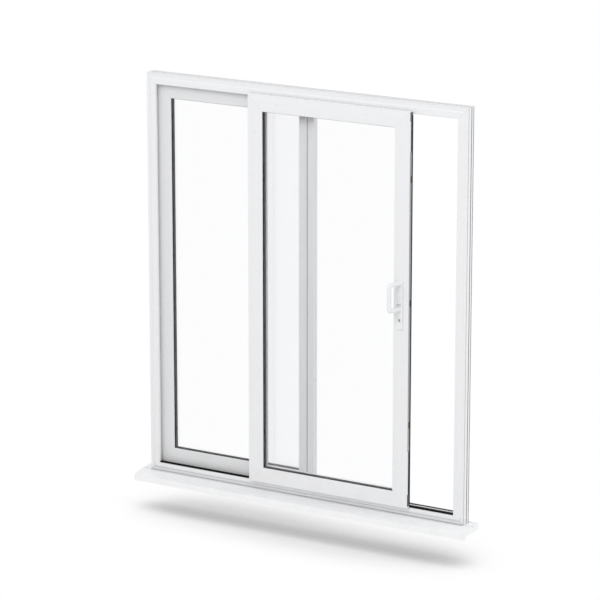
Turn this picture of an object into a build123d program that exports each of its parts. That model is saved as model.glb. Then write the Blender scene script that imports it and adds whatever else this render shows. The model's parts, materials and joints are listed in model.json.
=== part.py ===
from build123d import *
import os

# A white two-leaf patio door with a fixed left leaf, a sliding right leaf and a projecting cill.
# Millimetres. X runs along the door, Y away from the handle side, Z up from the cill's flat underside.

# Outer frame
FRAME_WIDTH = 1790.0
FRAME_HEIGHT = 2060.0
FRAME_DEPTH = 70.0
FRAME_SIDE_DEPTH = 62.0
FRAME_BACK_CHAMFER = 7.0
FRAME_FACE = 56.0
SILL_FACE = 45.5
FACE_STEP = 4.5
OUTER_BAND = 17.5
OUTER_BEVEL = 9.0
INNER_BEVEL = 3.0
LIP_THICKNESS = 12.0
CHANNEL_DEPTH = 15.0
SILL_CHANNEL_DEPTH = 3.5
SIDE_GROOVE_DEPTH = 6.0
SIDE_GROOVES = ((5.5, 9.0), (33.0, 40.0), (54.0, 60.0))
SILL_JOINT = 2.0

# Cill under the frame
CILL_THICKNESS = 30.0
CILL_PROJECTION = 80.0
CILL_BACK = 70.0
CILL_HORN = 49.5
CILL_NOSE_HEIGHT = 30.0
CILL_NOSE_DROP = 15.0
CILL_NOSE_THICKNESS = 8.0
CILL_NOSE_LEAN = 4.0
CILL_UPSTAND = 3.0
CILL_GROOVE_WIDTH = 2.5
CILL_GROOVE_DEPTH = 1.5
CILL_GROOVE_PLACES = (3.0, 12.0)
CILL_CAP_THICKNESS = 1.5

# Both leaves
STILE_FACE = 82.0
STILE_PAST_CENTRE = 43.0
TOP_RAIL_FACE = 84.0
BOTTOM_RAIL_FACE = 77.7
EDGE_BEVEL = 2.0
GLAZING_LIP = 5.0
FIXED_GLAZING_LIP = 4.0
REBATE_DEPTH = 16.0
GLASS_COVER = 12.0
GASKET_THICKNESS = 3.0
GASKET_SHOW = 1.5
GASKET_COVER = 10.0
PANE_THICKNESS = 4.0
SPACER_THICKNESS = 16.0
SPACER_SHOW = 1.0
SPACER_COVER = 11.0
SEAT_GAP = 0.3

# Fixed leaf
LEAF_GAP = 5.0
INTERLOCK_GROOVE_WIDTH = 4.0
INTERLOCK_GROOVE_DEPTH = 5.0
INTERLOCK_GROOVE_DISTANCE = 35.0
BRUSH_RECESS = 1.0

# Sliding leaf, in the half-open place where the photograph shows it
OPEN_DISTANCE = 252.0
FLANGE_THICKNESS = 22.0
FLANGE_CLEARANCE = 5.0
BODY_DEPTH = 32.0
FLANGE_OVER_JAMB = 14.0
FLANGE_OVER_HEAD = 15.0
FLANGE_OVER_SILL = 0.5
BODY_INSET_SIDE = 21.0
BODY_CLEARANCE_TOP = 9.0
BODY_CLEARANCE_BOTTOM = 7.5

# Track, rollers and guides
TRACK_Y = 19.0
TRACK_BASE_THICKNESS = 2.0
TRACK_LEAF_GAP = 1.0
TRACK_COVER_WIDTH = 8.0
TRACK_RIB_WIDTH = 4.0
TRACK_RIB_HEIGHT = 5.0
WHEEL_RADIUS = 12.0
WHEEL_WIDTH = 6.0
AXLE_RADIUS = 3.0
WHEEL_GAP = 0.5
HOUSING_LENGTH = 84.0
HOUSING_WIDTH = 11.4
HOUSING_HEIGHT = 26.0
ROLLER_END_DISTANCE = 140.0
HEAD_RAIL_THICKNESS = 3.0
HEAD_RAIL_HEIGHT = 18.0
GUIDE_LENGTH = 60.0
GUIDE_WIDTH = 11.0
GUIDE_HEIGHT = 13.0
GUIDE_GAP = 1.0

# Seals and lock
SILL_BRUSH_HEIGHT = 5.0
SILL_BRUSH_FRONT = 0.3
SILL_BRUSH_BACK = 0.5
REAR_STRIP_WIDTH = 12.0
REAR_STRIP_HEIGHT = 2.0
REAR_STRIP_SET_BACK = 1.0
SEAL_WIDTH = 10.0
SEAL_PROUD = 9.5
FACEPLATE_WIDTH = 18.0
FACEPLATE_THICKNESS = 2.0
FACEPLATE_FROM_BOTTOM = 289.0
FACEPLATE_FROM_TOP = 196.0
TOP_CAP_HEIGHT = 42.0
TOP_CAP_DROP = 5.0
BOTTOM_CAP_HEIGHT = 57.0
BOTTOM_CAP_RISE = 12.0
EDGE_STRIP_WIDTH = 11.0
EDGE_STRIP_THICKNESS = 1.0
KEEP_LENGTH = 240.0
KEEP_WIDTH = 16.0
KEEP_THICKNESS = 2.5
KEEP_SET_BACK = 4.0

# Handle set
HANDLE_Z = 1099.0
PLATE_HEIGHT = 242.0
PLATE_WIDTH = 30.0
PLATE_THICKNESS = 10.0
PLATE_EDGE_DISTANCE = 29.0
GRIP_RADIUS = 10.5
GRIP_LENGTH = 128.0
GRIP_CENTRE_RISE = 44.0
GRIP_STAND_OFF = 60.0
GRIP_CRANK = 24.0
GRIP_BEND = 12.0
CYLINDER_DROP = 74.2
CYLINDER_RADIUS = 8.5
CYLINDER_PROUD = 2.0
KEYWAY_RADIUS = 4.0
KEYWAY_DEPTH = 1.2
SNIB_RISE = 15.0
SNIB_BOSS_RADIUS = 8.0
SNIB_BOSS_HEIGHT = 5.0
SNIB_LEVER_LENGTH = 19.0
SNIB_LEVER_WIDTH = 8.0
SNIB_LEVER_THICKNESS = 5.0

# Places worked out from the sizes above
BASE_Z = CILL_THICKNESS
FRAME_RECT = (-FRAME_WIDTH / 2, FRAME_WIDTH / 2, BASE_Z, BASE_Z + FRAME_HEIGHT)


def inset(rect, side, top=None, bottom=None):
    """Move the four edges of a rectangle inwards."""
    top = side if top is None else top
    bottom = side if bottom is None else bottom
    x0, x1, z0, z1 = rect
    return (x0 + side, x1 - side, z0 + bottom, z1 - top)


LIP_RECT = inset(FRAME_RECT, FRAME_FACE, FRAME_FACE, SILL_FACE)
CHANNEL_RECT = inset(LIP_RECT, -CHANNEL_DEPTH, -CHANNEL_DEPTH, -SILL_CHANNEL_DEPTH)

FLANGE_BACK = -FLANGE_CLEARANCE
FLANGE_FRONT = FLANGE_BACK - FLANGE_THICKNESS
SLIDER_BACK = FLANGE_BACK + BODY_DEPTH
FIXED_FRONT = SLIDER_BACK + LEAF_GAP
FIXED_BACK = FRAME_DEPTH

LEAF_WIDTH = LIP_RECT[1] + FLANGE_OVER_JAMB + STILE_PAST_CENTRE
FLANGE_RIGHT = LIP_RECT[1] + FLANGE_OVER_JAMB - OPEN_DISTANCE
FLANGE_RECT = (
    FLANGE_RIGHT - LEAF_WIDTH,
    FLANGE_RIGHT,
    LIP_RECT[2] - FLANGE_OVER_SILL,
    LIP_RECT[3] + FLANGE_OVER_HEAD,
)
BODY_RECT = (
    FLANGE_RECT[0] + BODY_INSET_SIDE,
    FLANGE_RECT[1] - BODY_INSET_SIDE,
    LIP_RECT[2] + BODY_CLEARANCE_BOTTOM,
    LIP_RECT[3] - BODY_CLEARANCE_TOP,
)
SLIDER_OPENING = inset(FLANGE_RECT, STILE_FACE, TOP_RAIL_FACE, BOTTOM_RAIL_FACE)
FIXED_RECT = (
    CHANNEL_RECT[0] + SEAT_GAP,
    STILE_PAST_CENTRE,
    CHANNEL_RECT[2] + SEAT_GAP,
    CHANNEL_RECT[3] - SEAT_GAP,
)
FIXED_OPENING = (
    FIXED_RECT[0] + STILE_FACE,
    FIXED_RECT[1] - STILE_FACE,
    SLIDER_OPENING[2],
    SLIDER_OPENING[3],
)
UNIT_THICKNESS = 2 * PANE_THICKNESS + SPACER_THICKNESS
REBATE_WIDTH = UNIT_THICKNESS + 2 * GASKET_THICKNESS
PLATE_X = FLANGE_RECT[1] - PLATE_EDGE_DISTANCE - PLATE_WIDTH / 2
TRACK_TOP = CHANNEL_RECT[2] + TRACK_BASE_THICKNESS + TRACK_RIB_HEIGHT
WHEEL_Z = TRACK_TOP + SEAT_GAP + WHEEL_RADIUS
ROLLER_PLACES = (BODY_RECT[0] + ROLLER_END_DISTANCE, BODY_RECT[1] - ROLLER_END_DISTANCE)


def block(x0, x1, y0, y1, z0, z1):
    """A box between two corners."""
    return Pos(x0, y0, z0) * Box(x1 - x0, y1 - y0, z1 - z0, align=(Align.MIN, Align.MIN, Align.MIN))


def corners(rect):
    """The corners of a rectangle by name."""
    x0, x1, z0, z1 = rect
    return {"bl": (x0, z0), "br": (x1, z0), "tr": (x1, z1), "tl": (x0, z1)}


SIDE_CORNERS = {"left": ("bl", "tl"), "right": ("tr", "br"), "top": ("tl", "tr"), "bottom": ("br", "bl")}


def mitre_face(side, outer, inner, y):
    """One mitred side of a rectangular ring, as a flat face at depth y."""
    first, second = SIDE_CORNERS[side]
    out = corners(outer)
    into = corners(inner)
    ring = [out[first], out[second], into[second], into[first]]
    return make_face(Polyline([(x, y, z) for x, z in ring], close=True))


def layer(side, y0, y1, outer, inner, outer_back=None, inner_back=None):
    """One mitred layer between two depths, tapered where its back outline differs."""
    front = mitre_face(side, outer, inner, y0)
    back = mitre_face(side, outer_back or outer, inner_back or inner, y1)
    return loft([front, back], ruled=True)


def fuse(pieces):
    """Join solids that share faces into one."""
    body = pieces[0].fuse(*pieces[1:])
    return body


def ring(outer, inner, y0, y1):
    """A whole rectangular ring, such as a gasket or a spacer bar."""
    x0, x1, z0, z1 = outer
    a0, a1, c0, c1 = inner
    return block(x0, x1, y0, y1, z0, z1) - block(a0, a1, y0, y1, c0, c1)


def front_band(side):
    """The outline of the frame's front band, kept off the cill so that a joint line shows."""
    if side != "bottom":
        return FRAME_RECT
    return inset(FRAME_RECT, SILL_JOINT * FRAME_FACE / SILL_FACE, 0, SILL_JOINT)


def frame_layers(side):
    """The outer frame's section on one side, from the front face to the back."""
    raised_outer = inset(FRAME_RECT, OUTER_BAND + OUTER_BEVEL)
    raised_inner = inset(LIP_RECT, -INNER_BEVEL)
    band = inset(FRAME_RECT, OUTER_BAND)
    groove = inset(FRAME_RECT, SIDE_GROOVE_DEPTH)
    pieces = [layer(side, 0, FACE_STEP, raised_outer, raised_inner, band, LIP_RECT)]
    depths = {FACE_STEP, LIP_THICKNESS, FRAME_SIDE_DEPTH}
    for ends in SIDE_GROOVES:
        depths.update(ends)
    steps = sorted(depths)
    for y0, y1 in zip(steps, steps[1:]):
        outer = front_band(side) if y0 == FACE_STEP else FRAME_RECT
        if any(start <= y0 < end for start, end in SIDE_GROOVES):
            outer = groove
        inner = LIP_RECT if y0 < LIP_THICKNESS else CHANNEL_RECT
        pieces.append(layer(side, y0, y1, outer, inner))
    small = inset(FRAME_RECT, FRAME_BACK_CHAMFER)
    pieces.append(layer(side, FRAME_SIDE_DEPTH, FRAME_DEPTH, FRAME_RECT, CHANNEL_RECT, small, CHANNEL_RECT))
    return pieces


def frame_member(side):
    """One mitred member of the outer frame."""
    return fuse(frame_layers(side))


def leaf_member(side, outer, opening, front, back, body=None, flange_back=None):
    """One mitred member of a leaf, with a groove that holds the glass unit."""
    rebate = inset(opening, -REBATE_DEPTH)
    rebate_front = front + (GLAZING_LIP if body else FIXED_GLAZING_LIP)
    rebate_back = rebate_front + REBATE_WIDTH
    bevel_outer = inset(outer, EDGE_BEVEL)
    bevel_inner = inset(opening, -EDGE_BEVEL)
    level = front + EDGE_BEVEL
    pieces = [layer(side, front, level, bevel_outer, bevel_inner, outer, opening)]
    pieces.append(layer(side, level, rebate_front, outer, opening))
    if body:
        pieces.append(layer(side, rebate_front, flange_back, outer, rebate))
        pieces.append(layer(side, flange_back, rebate_back, body, rebate))
        pieces.append(layer(side, rebate_back, back, body, opening))
    else:
        pieces.append(layer(side, rebate_front, rebate_back, outer, rebate))
        pieces.append(layer(side, rebate_back, back, outer, opening))
    return fuse(pieces)


def glass_unit(opening, start):
    """Two panes, a spacer bar and two gaskets, from the front gasket back."""
    pane = inset(opening, -GLASS_COVER)
    px0, px1, pz0, pz1 = pane
    gasket_outer = inset(opening, -GASKET_COVER)
    gasket_inner = inset(opening, GASKET_SHOW)
    spacer_outer = inset(opening, -SPACER_COVER)
    spacer_inner = inset(opening, SPACER_SHOW)
    y0 = start + GASKET_THICKNESS
    y1 = y0 + PANE_THICKNESS
    y2 = y1 + SPACER_THICKNESS
    y3 = y2 + PANE_THICKNESS
    return {
        "gasket_front": ring(gasket_outer, gasket_inner, start, y0),
        "pane_front": block(px0, px1, y0, y1, pz0, pz1),
        "spacer_bar": ring(spacer_outer, spacer_inner, y1, y2),
        "pane_back": block(px0, px1, y2, y3, pz0, pz1),
        "gasket_back": ring(gasket_outer, gasket_inner, y3, y3 + GASKET_THICKNESS),
    }


def cill_grooves():
    """The outline of the shallow grooves in the cill's seat, from the back to the front."""
    points = []
    for place in reversed(CILL_GROOVE_PLACES):
        y0, y1 = place, place + CILL_GROOVE_WIDTH
        low = BASE_Z - CILL_GROOVE_DEPTH
        points.extend([(y1, BASE_Z), (y1, low), (y0, low), (y0, BASE_Z)])
    return points


def cill_profile():
    """The cill's section: a flat seat, a slope to the nose and a drip nose that hangs lower."""
    nose_top = CILL_THICKNESS - CILL_NOSE_HEIGHT + CILL_NOSE_DROP
    nose_front = -CILL_PROJECTION
    nose_back = nose_front + CILL_NOSE_THICKNESS
    points = [
        (CILL_BACK, 0),
        (CILL_BACK, BASE_Z + CILL_UPSTAND),
        (CILL_BACK - CILL_UPSTAND, BASE_Z + CILL_UPSTAND),
        (CILL_BACK - CILL_UPSTAND, BASE_Z),
        *cill_grooves(),
        (0, BASE_Z),
        (nose_front + CILL_NOSE_LEAN, nose_top),
        (nose_front, -CILL_NOSE_DROP),
        (nose_back, -CILL_NOSE_DROP),
        (nose_back, 0),
    ]
    return points


def profile_along_x(points, x0, x1):
    """Extrude a (Y, Z) outline from one X to another."""
    outline = make_face(Polyline([(x0, y, z) for y, z in points], close=True))
    return extrude(outline, amount=x1 - x0, dir=(1, 0, 0))


def sill_track():
    """The black track strip with the rib that the rollers run on, wider in the open half."""
    x0, x1 = CHANNEL_RECT[0] + SEAT_GAP, CHANNEL_RECT[1] - SEAT_GAP
    base = CHANNEL_RECT[2]
    top = base + TRACK_BASE_THICKNESS
    y0, y1 = LIP_THICKNESS + SEAT_GAP, FIXED_FRONT - TRACK_LEAF_GAP
    strip = block(x0, x1, y0, y1, base, top)
    cover = block(FIXED_RECT[1] + TRACK_LEAF_GAP, x1, y1, FIXED_FRONT + TRACK_COVER_WIDTH, base, top)
    r0, r1 = TRACK_Y - TRACK_RIB_WIDTH / 2, TRACK_Y + TRACK_RIB_WIDTH / 2
    return strip.fuse(cover, block(x0, x1, r0, r1, top, top + TRACK_RIB_HEIGHT))


def rear_strip():
    """The dark strip along the back of the sill in the open half."""
    x0, x1 = FIXED_RECT[1] + TRACK_LEAF_GAP, CHANNEL_RECT[1] - SEAT_GAP
    y1 = FRAME_DEPTH - REAR_STRIP_SET_BACK
    base = CHANNEL_RECT[2]
    return block(x0, x1, y1 - REAR_STRIP_WIDTH, y1, base, base + REAR_STRIP_HEIGHT)


def head_rail():
    """The thin rail under the head that steadies the sliding leaf."""
    half = HEAD_RAIL_THICKNESS / 2
    top = CHANNEL_RECT[3]
    x0, x1 = CHANNEL_RECT[0] + SEAT_GAP, CHANNEL_RECT[1] - SEAT_GAP
    return block(x0, x1, TRACK_Y - half, TRACK_Y + half, top - HEAD_RAIL_HEIGHT, top)


def head_guide(x):
    """A guide shoe on the sliding leaf's top edge, slotted for the head rail."""
    base = BODY_RECT[3]
    half = GUIDE_WIDTH / 2
    slot = HEAD_RAIL_THICKNESS / 2 + GUIDE_GAP
    x0, x1 = x - GUIDE_LENGTH / 2, x + GUIDE_LENGTH / 2
    shoe = block(x0, x1, TRACK_Y - half, TRACK_Y + half, base, base + GUIDE_HEIGHT)
    rail_foot = CHANNEL_RECT[3] - HEAD_RAIL_HEIGHT
    return shoe - block(x0, x1, TRACK_Y - slot, TRACK_Y + slot, rail_foot - GUIDE_GAP, base + GUIDE_HEIGHT)


def housing_box(x, gap):
    """The space of a roller housing, grown by a gap."""
    half = HOUSING_LENGTH / 2 + gap
    wide = HOUSING_WIDTH / 2 + gap
    base = BODY_RECT[2]
    return block(x - half, x + half, TRACK_Y - wide, TRACK_Y + wide, base, base + HOUSING_HEIGHT + gap)


def roller_housing(x):
    """A roller's housing, open below for the wheel and bored for its axle."""
    reach = WHEEL_RADIUS + WHEEL_GAP * 4
    wide = WHEEL_WIDTH / 2 + WHEEL_GAP
    base = BODY_RECT[2]
    slot = block(x - reach, x + reach, TRACK_Y - wide, TRACK_Y + wide, base, WHEEL_Z + reach)
    bore = axle(x, AXLE_RADIUS + SEAT_GAP, HOUSING_WIDTH)
    return housing_box(x, 0) - slot - bore


def axle(x, radius, length):
    """A cylinder along Y at a roller's centre."""
    start = Plane(origin=(x, TRACK_Y - length / 2, WHEEL_Z), z_dir=(0, 1, 0))
    return extrude(start * Circle(radius), amount=length)


def roller_wheel(x):
    """A roller wheel with its axle."""
    return axle(x, WHEEL_RADIUS, WHEEL_WIDTH).fuse(axle(x, AXLE_RADIUS, HOUSING_WIDTH))


def handle_side(face_y, outward):
    """Backplate and grip on one face of the lock stile; outward is -1 in front, +1 behind."""
    y0 = face_y
    y1 = face_y + outward * PLATE_THICKNESS
    z0 = HANDLE_Z - PLATE_HEIGHT / 2
    z1 = z0 + PLATE_HEIGHT
    plate = block(PLATE_X - PLATE_WIDTH / 2, PLATE_X + PLATE_WIDTH / 2, min(y0, y1), max(y0, y1), z0, z1)
    plate = fillet(plate.edges().filter_by(Axis.Y), PLATE_WIDTH / 4)
    outer_face = plate.faces().sort_by(Axis.Y)[0 if outward < 0 else -1]
    plate = fillet(outer_face.edges(), EDGE_BEVEL)
    return plate, grip(y1, outward), y1


def grip(plate_y, outward):
    """A cranked D grip: two legs out of the plate and a bar between them."""
    out_y = plate_y + outward * GRIP_STAND_OFF
    bar_x = PLATE_X - GRIP_CRANK
    scale = (GRIP_STAND_OFF + PLATE_THICKNESS / 2) / GRIP_STAND_OFF
    root_x = bar_x + GRIP_CRANK * scale
    root_y = out_y - outward * GRIP_STAND_OFF * scale
    mid = HANDLE_Z + GRIP_CENTRE_RISE
    low, high = mid - GRIP_LENGTH / 2, mid + GRIP_LENGTH / 2
    points = [(root_x, root_y, high), (bar_x, out_y, high), (bar_x, out_y, low), (root_x, root_y, low)]
    path = FilletPolyline(*points, radius=GRIP_BEND)
    start = Plane(origin=path @ 0, z_dir=path % 0)
    rod = sweep(start * Circle(GRIP_RADIUS), path=path)
    behind = max(abs(root_y - plate_y) * 2, 4 * GRIP_RADIUS)
    cut_y0, cut_y1 = sorted((plate_y, plate_y - outward * behind))
    reach = 2 * GRIP_LENGTH
    return rod - block(PLATE_X - reach, PLATE_X + reach, cut_y0, cut_y1, low - reach, high + reach)


def lock_cylinder(front_y, back_y):
    """The key cylinder through the stile, with a keyway in its front."""
    z = HANDLE_Z - CYLINDER_DROP
    start = Plane(origin=(PLATE_X, front_y - CYLINDER_PROUD, z), z_dir=(0, 1, 0))
    length = back_y - front_y + 2 * CYLINDER_PROUD
    body = extrude(start * Circle(CYLINDER_RADIUS), amount=length)
    key = extrude(start * Circle(KEYWAY_RADIUS), amount=KEYWAY_DEPTH)
    return body - key


def cylinder_bore(y0, y1):
    """The hole that the key cylinder passes through."""
    start = Plane(origin=(PLATE_X, y0, HANDLE_Z - CYLINDER_DROP), z_dir=(0, 1, 0))
    return extrude(start * Circle(CYLINDER_RADIUS + SEAT_GAP), amount=y1 - y0)


def snib(plate_y):
    """The small thumb lever on the outer backplate."""
    z = HANDLE_Z + SNIB_RISE
    top = plate_y - SEAT_GAP
    start = Plane(origin=(PLATE_X, top, z), z_dir=(0, -1, 0))
    boss = extrude(start * Circle(SNIB_BOSS_RADIUS), amount=SNIB_BOSS_HEIGHT)
    y1 = top - SNIB_BOSS_HEIGHT
    half = SNIB_LEVER_WIDTH / 2
    lever = block(PLATE_X - SNIB_LEVER_LENGTH, PLATE_X + half, y1 - SNIB_LEVER_THICKNESS, y1, z - half, z + half)
    lever = fillet(lever.edges().filter_by(Axis.Y), half * 0.8)
    return boss.fuse(lever)


def build_cill():
    """Cill board and its two end caps."""
    points = cill_profile()
    half = FRAME_WIDTH / 2 + CILL_HORN
    cap = CILL_CAP_THICKNESS
    return {
        "cill": profile_along_x(points, -half + cap, half - cap),
        "cill_end_cap_left": profile_along_x(points, -half, -half + cap),
        "cill_end_cap_right": profile_along_x(points, half - cap, half),
    }


def build_frame():
    """Outer frame, track, rear strip, head rail, sill brush and lock keep."""
    nodes = {
        "frame_head": frame_member("top"),
        "frame_sill": frame_member("bottom"),
        "frame_jamb_left": frame_member("left"),
        "frame_jamb_right": frame_member("right"),
        "sill_track": sill_track(),
        "sill_rear_strip": rear_strip(),
        "head_guide_rail": head_rail(),
    }
    y1 = LIP_THICKNESS - SILL_BRUSH_BACK
    z = LIP_RECT[2]
    x0, x1 = LIP_RECT[0] + SEAT_GAP, LIP_RECT[1] - SEAT_GAP
    nodes["sill_brush_strip"] = block(x0, x1, SILL_BRUSH_FRONT, y1, z, z + SILL_BRUSH_HEIGHT)
    wall = CHANNEL_RECT[1]
    keep_y = TRACK_Y - KEEP_WIDTH / 2 + KEEP_SET_BACK
    z0 = HANDLE_Z - KEEP_LENGTH / 2
    nodes["lock_keep"] = block(wall - KEEP_THICKNESS, wall, keep_y, keep_y + KEEP_WIDTH, z0, z0 + KEEP_LENGTH)
    return nodes


def build_fixed_leaf():
    """The fixed left leaf with its glass unit and interlock groove."""
    names = {
        "left": "fixed_stile_left",
        "right": "fixed_stile_interlock",
        "top": "fixed_rail_top",
        "bottom": "fixed_rail_bottom",
    }
    nodes = {}
    for side, name in names.items():
        nodes[name] = leaf_member(side, FIXED_RECT, FIXED_OPENING, FIXED_FRONT, FIXED_BACK)
    groove_x = FIXED_RECT[1] - INTERLOCK_GROOVE_DISTANCE
    half = INTERLOCK_GROOVE_WIDTH / 2
    back = FIXED_FRONT + INTERLOCK_GROOVE_DEPTH
    z0, z1 = FIXED_OPENING[2], FIXED_OPENING[3]
    groove = block(groove_x - half, groove_x + half, FIXED_FRONT, back, z0, z1)
    nodes["fixed_stile_interlock"] = nodes["fixed_stile_interlock"] - groove
    nodes["interlock_brush"] = block(
        groove_x - half, groove_x + half, FIXED_FRONT + BRUSH_RECESS, back, z0, z1
    )
    for name, piece in glass_unit(FIXED_OPENING, FIXED_FRONT + FIXED_GLAZING_LIP).items():
        nodes["fixed_" + name] = piece
    return nodes


def build_sliding_leaf():
    """The sliding right leaf with its glass unit, rollers and guides."""
    names = {
        "left": "slider_stile_interlock",
        "right": "slider_stile_lock",
        "top": "slider_rail_top",
        "bottom": "slider_rail_bottom",
    }
    nodes = {}
    for side, name in names.items():
        nodes[name] = leaf_member(
            side, FLANGE_RECT, SLIDER_OPENING, FLANGE_FRONT, SLIDER_BACK, BODY_RECT, FLANGE_BACK
        )
    bore = cylinder_bore(FLANGE_FRONT, SLIDER_BACK)
    nodes["slider_stile_lock"] = nodes["slider_stile_lock"] - bore
    housings = []
    wheels = []
    guides = []
    for x in ROLLER_PLACES:
        nodes["slider_rail_bottom"] = nodes["slider_rail_bottom"] - housing_box(x, SEAT_GAP)
        housings.append(roller_housing(x))
        wheels.append(roller_wheel(x))
        guides.append(head_guide(x))
    nodes["roller_housings"] = Compound(housings)
    nodes["roller_wheels"] = Compound(wheels)
    nodes["head_guide_shoes"] = Compound(guides)
    for name, piece in glass_unit(SLIDER_OPENING, FLANGE_FRONT + GLAZING_LIP).items():
        nodes["slider_" + name] = piece
    return nodes


def edge_pieces(y0, y1, thickness, heights):
    """Upright strips on the sliding leaf's closing edge, between pairs of heights."""
    edge = FLANGE_RECT[1]
    return [block(edge, edge + thickness, y0, y1, z0, z1) for z0, z1 in heights]


def build_closing_edge():
    """Faceplate, end caps, edge strip and rear seal on the sliding leaf's closing edge."""
    y0 = (FLANGE_FRONT + FLANGE_BACK) / 2 - FACEPLATE_WIDTH / 2
    y1 = y0 + FACEPLATE_WIDTH
    low = FLANGE_RECT[2] + BOTTOM_CAP_RISE
    high = FLANGE_RECT[3] - TOP_CAP_DROP
    low_cap = (low, low + BOTTOM_CAP_HEIGHT)
    high_cap = (high - TOP_CAP_HEIGHT, high)
    lock = (FLANGE_RECT[2] + FACEPLATE_FROM_BOTTOM, FLANGE_RECT[3] - FACEPLATE_FROM_TOP)
    plate = edge_pieces(y0, y1, FACEPLATE_THICKNESS, [lock])
    caps = edge_pieces(y0, y1, FACEPLATE_THICKNESS, [low_cap, high_cap])
    between = [(low_cap[1] + SEAT_GAP, lock[0] - SEAT_GAP), (lock[1] + SEAT_GAP, high_cap[0] - SEAT_GAP)]
    strips = edge_pieces(FLANGE_BACK - EDGE_STRIP_WIDTH, FLANGE_BACK, EDGE_STRIP_THICKNESS, between)
    side = BODY_RECT[1]
    seal = block(side, side + SEAL_PROUD, SLIDER_BACK - SEAL_WIDTH, SLIDER_BACK, BODY_RECT[2], BODY_RECT[3])
    return {
        "lock_faceplate": plate[0],
        "closing_edge_caps": Compound(caps),
        "closing_edge_strip": Compound(strips),
        "closing_seal": seal,
    }


def build_handles():
    """Backplates, grips, key cylinder and thumb lever."""
    front_plate, front_grip, front_y = handle_side(FLANGE_FRONT, -1)
    back_plate, back_grip, back_y = handle_side(SLIDER_BACK, 1)
    bore = cylinder_bore(front_y, back_y)
    return {
        "handle_plate_front": front_plate - bore,
        "handle_plate_back": back_plate - bore,
        "handle_grip_front": front_grip,
        "handle_grip_back": back_grip,
        "key_cylinder": lock_cylinder(front_y, back_y),
        "snib_lever": snib(front_y),
    }


def build_all():
    """Every node of the door, by name."""
    nodes = {}
    for part in (build_cill, build_frame, build_fixed_leaf, build_sliding_leaf, build_closing_edge, build_handles):
        nodes.update(part())
    return nodes


os.makedirs("parts", exist_ok=True)
for node_name, shape in build_all().items():
    export_step(shape, "parts/" + node_name + ".step")
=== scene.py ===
import json
import logging
import math
from dataclasses import dataclass, field
from enum import Enum
from typing import Callable

import bmesh
import bpy
from mathutils import Matrix, Vector


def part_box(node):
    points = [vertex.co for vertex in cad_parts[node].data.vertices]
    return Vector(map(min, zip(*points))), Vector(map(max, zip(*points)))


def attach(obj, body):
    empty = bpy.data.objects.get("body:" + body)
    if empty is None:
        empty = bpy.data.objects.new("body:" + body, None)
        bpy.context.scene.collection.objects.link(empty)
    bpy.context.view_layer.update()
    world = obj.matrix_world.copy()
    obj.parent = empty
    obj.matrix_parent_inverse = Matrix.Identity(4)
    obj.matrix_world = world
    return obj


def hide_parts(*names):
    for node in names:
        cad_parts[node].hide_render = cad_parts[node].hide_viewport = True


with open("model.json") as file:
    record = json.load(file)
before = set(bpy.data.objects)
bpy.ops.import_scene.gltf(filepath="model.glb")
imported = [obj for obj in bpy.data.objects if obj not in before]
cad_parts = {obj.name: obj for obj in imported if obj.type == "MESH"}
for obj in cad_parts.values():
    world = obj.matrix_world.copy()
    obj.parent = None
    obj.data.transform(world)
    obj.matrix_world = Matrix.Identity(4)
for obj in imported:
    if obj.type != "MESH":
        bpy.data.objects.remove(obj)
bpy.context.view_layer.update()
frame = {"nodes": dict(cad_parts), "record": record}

PHOTO_SIZE = 600.0
SENSOR_MM = 36.0
MM = 0.001
FACE_SLACK = 0.02 * MM
EDGE_SLACK = 0.1 * MM
QUARTER_TURN = math.pi / 2.0
TO_FRONT = (QUARTER_TURN, 0.0, 0.0)
TO_SIDE = (0.0, QUARTER_TURN, 0.0)
WHITE = (1.0, 1.0, 1.0, 1.0)

Triple = tuple[float, float, float]
Shade = tuple[float, float, float, float]
Corners = tuple[Vector, Vector]
Socket = bpy.types.NodeSocket
Test = Callable[[object], bool]

log = logging.getLogger("patio_door")


class Body(Enum):
    """The moving bodies of the door."""

    FRAME = "frame_side"
    LEAF = "sliding_leaf"
    LEVER = "thumb_lever"


class Slot(Enum):
    """The record's material slots."""

    PROFILE = "white_profile"
    GLASS = "clear_glass"
    SEAL = "black_seal"
    SPACER = "black_spacer"
    TRACK = "black_track"
    DARK_PLASTIC = "black_plastic"
    METAL = "grey_metal"
    HANDLE = "white_handle"


class Run(Enum):
    """Which way a profile runs, as the stretch of its drawn lines along X, Y and Z."""

    UPRIGHT = (420.0, 420.0, 3.0)
    ACROSS = (3.0, 420.0, 420.0)


class Pick(Enum):
    """What an operator acts on in edit mode."""

    EDGES = "EDGE"
    FACES = "FACE"


def corners(node: str) -> Corners:
    """A node's lowest and highest corners at rest."""
    low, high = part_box(node)
    return Vector(low), Vector(high)


def facing(axis: int, place: float) -> Test:
    """A test for the faces whose middle lies at a place on an axis."""
    return lambda face: abs(face.calc_center_median()[axis] - place) < FACE_SLACK


def along(axis: int) -> Test:
    """A test for the edges that run along an axis."""
    return lambda edge: abs(edge.verts[0].co[axis] - edge.verts[1].co[axis]) > EDGE_SLACK


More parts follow.
